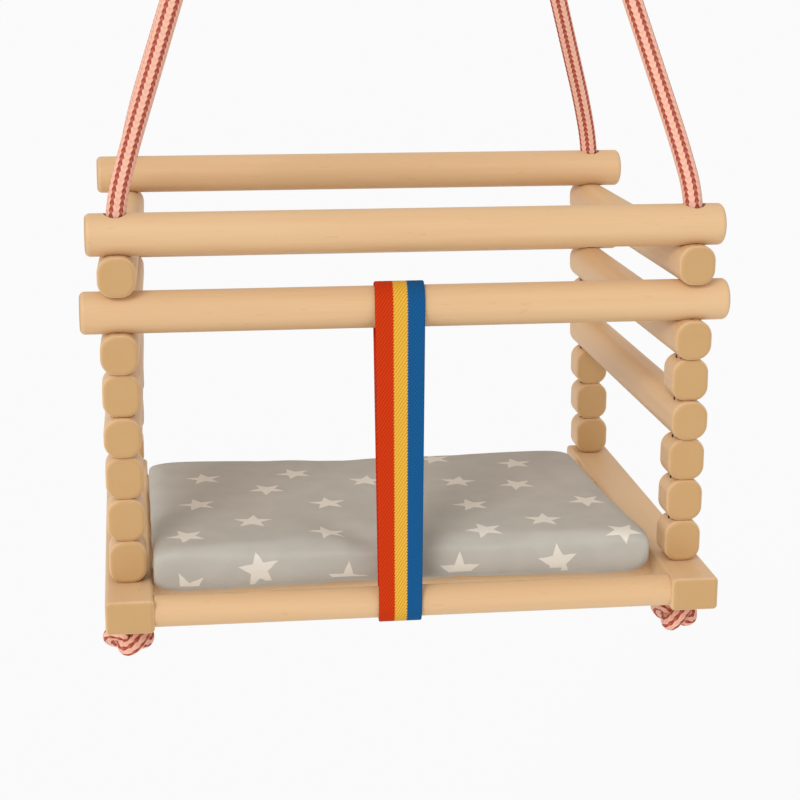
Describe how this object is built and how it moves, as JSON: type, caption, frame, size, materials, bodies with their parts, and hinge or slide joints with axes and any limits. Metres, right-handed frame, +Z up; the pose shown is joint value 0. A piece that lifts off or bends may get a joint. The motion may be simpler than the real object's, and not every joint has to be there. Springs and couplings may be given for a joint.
{
  "type": "toddler bucket swing",
  "caption": "Wooden toddler swing: round rails and spacer beads threaded on four ropes, star-print cushion and striped crotch strap.",
  "frame": {"origin": "centre of the hole of the suspension ring, which holds the swing up", "axes": "+X to the right seen from the front, +Y to the back, +Z up"},
  "size_m": [0.3714, 0.2913, 0.88],
  "materials": {
    "beech": "satin",
    "rope": "matte",
    "cushion_fabric": "matte",
    "foam": "matte",
    "webbing": "matte",
    "ring_steel": "satin"
  },
  "bodies": {
    "ring": {"suspension_ring": "ring_steel"},
    "seat": {"back_second_rail": "beech", "bead_back_left_1": "beech", "bead_back_left_2": "beech", "bead_back_left_3": "beech", "bead_back_left_4": "beech", "bead_back_right_1": "beech", "bead_back_right_2": "beech", "bead_back_right_3": "beech", "bead_back_right_4": "beech", "bead_front_left_1": "beech", "bead_front_left_2": "beech", "bead_front_left_3": "beech", "bead_front_left_4": "beech", "bead_front_right_1": "beech", "bead_front_right_2": "beech", "bead_front_right_3": "beech", "bead_front_right_4": "beech", "cushion_cover": "cushion_fabric", "cushion_foam": "foam", "front_second_rail": "beech", "knot_back_left": "rope", "knot_back_right": "rope", "knot_front_left": "rope", "knot_front_right": "rope", "left_seat_board": "beech", "left_side_rail_lower": "beech", "left_side_rail_middle": "beech", "left_side_rail_top": "beech", "right_seat_board": "beech", "right_side_rail_lower": "beech", "right_side_rail_middle": "beech", "right_side_rail_top": "beech", "rope_back_left": "rope", "rope_back_right": "rope", "rope_binding": "rope", "rope_eye": "rope", "rope_front_left": "rope", "rope_front_right": "rope", "seat_dowel_1": "beech", "seat_dowel_2": "beech", "seat_dowel_3": "beech", "seat_dowel_4": "beech", "seat_dowel_5": "beech", "seat_dowel_6": "beech"},
    "front_rail": {"front_top_rail": "beech"},
    "back_rail": {"back_top_rail": "beech"},
    "strap": {"strap": "webbing"}
  },
  "joints": [
    {"name": "swing", "type": "hinge", "parent": "ring", "child": "seat", "pos_m": [0, 0, -0.03], "axis": [1, 0, 0], "range_deg": [-45, 45]},
    {"name": "front_rail_lift", "type": "slide", "parent": "seat", "child": "front_rail", "axis": [0, 0, 1], "range_m": [0, 0.1], "deforming": ["rope_front_left", "rope_front_right"]},
    {"name": "back_rail_lift", "type": "slide", "parent": "seat", "child": "back_rail", "axis": [0, 0, 1], "range_m": [0, 0.1], "deforming": ["rope_back_left", "rope_back_right"]},
    {"name": "strap_slide", "type": "slide", "parent": "seat", "child": "strap", "axis": [1, 0, 0], "range_m": [-0.06, 0.06]}
  ]
}
